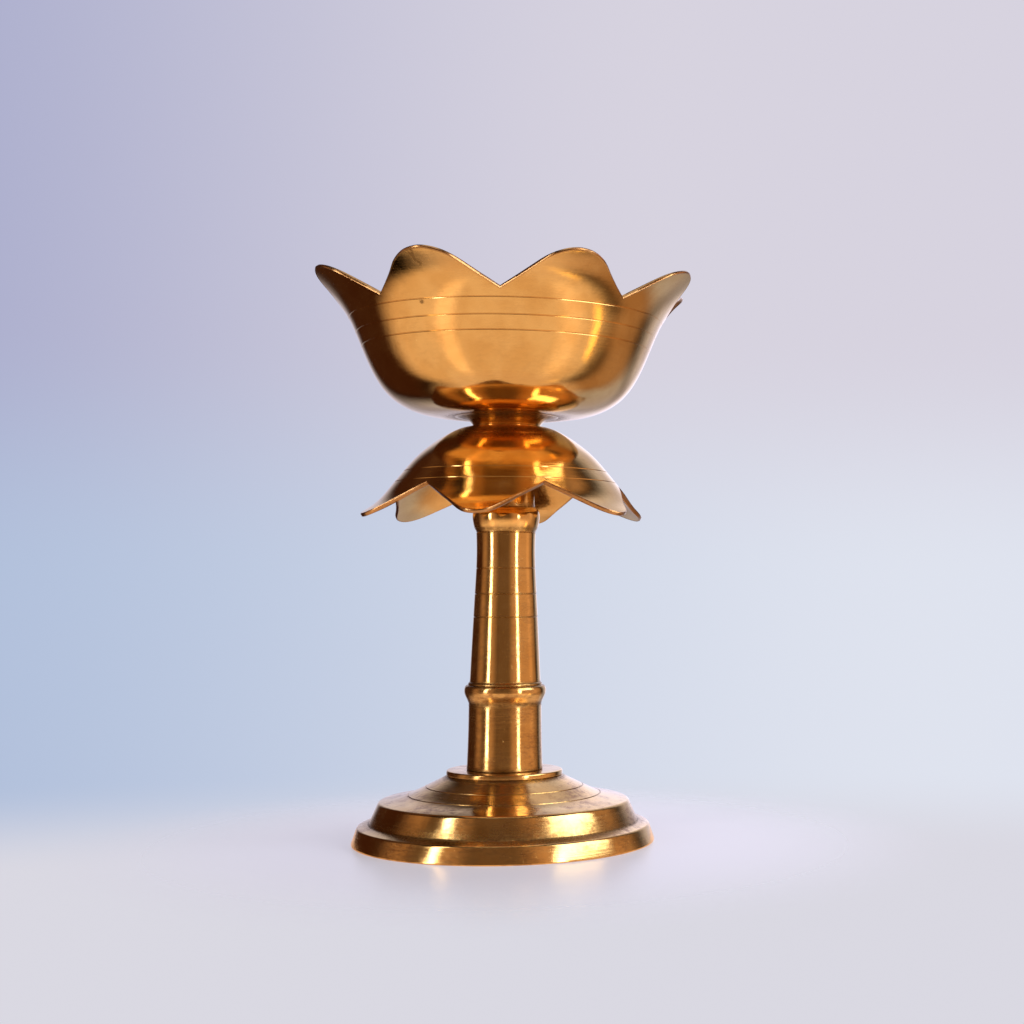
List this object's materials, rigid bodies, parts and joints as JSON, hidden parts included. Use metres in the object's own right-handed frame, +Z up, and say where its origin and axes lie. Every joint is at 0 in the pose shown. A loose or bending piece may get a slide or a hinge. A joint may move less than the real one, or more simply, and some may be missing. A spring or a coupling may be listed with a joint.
{
  "type": "standing oil lamp",
  "caption": "Small turned brass standing oil lamp with a stepped round foot, a tapered stem, an inverted lotus skirt and an open lotus bowl that unscrews.",
  "frame": {"origin": "centre of the foot's resting ring, on the surface it stands on", "axes": "+Z up along the lamp's axis; -Y is the side shown as the front; one bowl petal is centred 20.1 degrees from +X and one skirt petal 18.5 degrees from +X"},
  "size_m": [0.073, 0.073, 0.11],
  "materials": {
    "polished_brass": "hand polished, fine turning lines",
    "satin_brass": "turned satin, slightly tarnished",
    "threaded_brass": "machined"
  },
  "bodies": {
    "foot": {"foot": "satin_brass"},
    "disc": {"seat_disc": "satin_brass"},
    "stem": {"stem_lower": "satin_brass", "stem_upper": "polished_brass", "foot_stud": "threaded_brass", "stem_stud": "threaded_brass"},
    "skirt": {"skirt": "polished_brass"},
    "bowl": {"bowl": "polished_brass", "bowl_spigot": "threaded_brass"}
  },
  "joints": [
    {"name": "stem_turn", "type": "hinge", "parent": "foot", "child": "disc", "pos_m": [0, 0, 0.0128], "axis": [0, 0, 1], "range_deg": [0, 1800]},
    {"name": "stem_rise", "type": "slide", "parent": "disc", "child": "stem", "axis": [0, 0, 1], "range_m": [0, 0.00705]},
    {"name": "bowl_turn", "type": "hinge", "parent": "stem", "child": "skirt", "pos_m": [0, 0, 0.0799], "axis": [0, 0, 1], "range_deg": [0, 2520]},
    {"name": "bowl_rise", "type": "slide", "parent": "skirt", "child": "bowl", "axis": [0, 0, 1], "range_m": [0, 0.00889]}
  ],
  "couplings": [
    {"joint": "stem_turn", "follows": "stem_rise", "rad_per_m": 4453},
    {"joint": "bowl_turn", "follows": "bowl_rise", "rad_per_m": 4947.4}
  ]
}
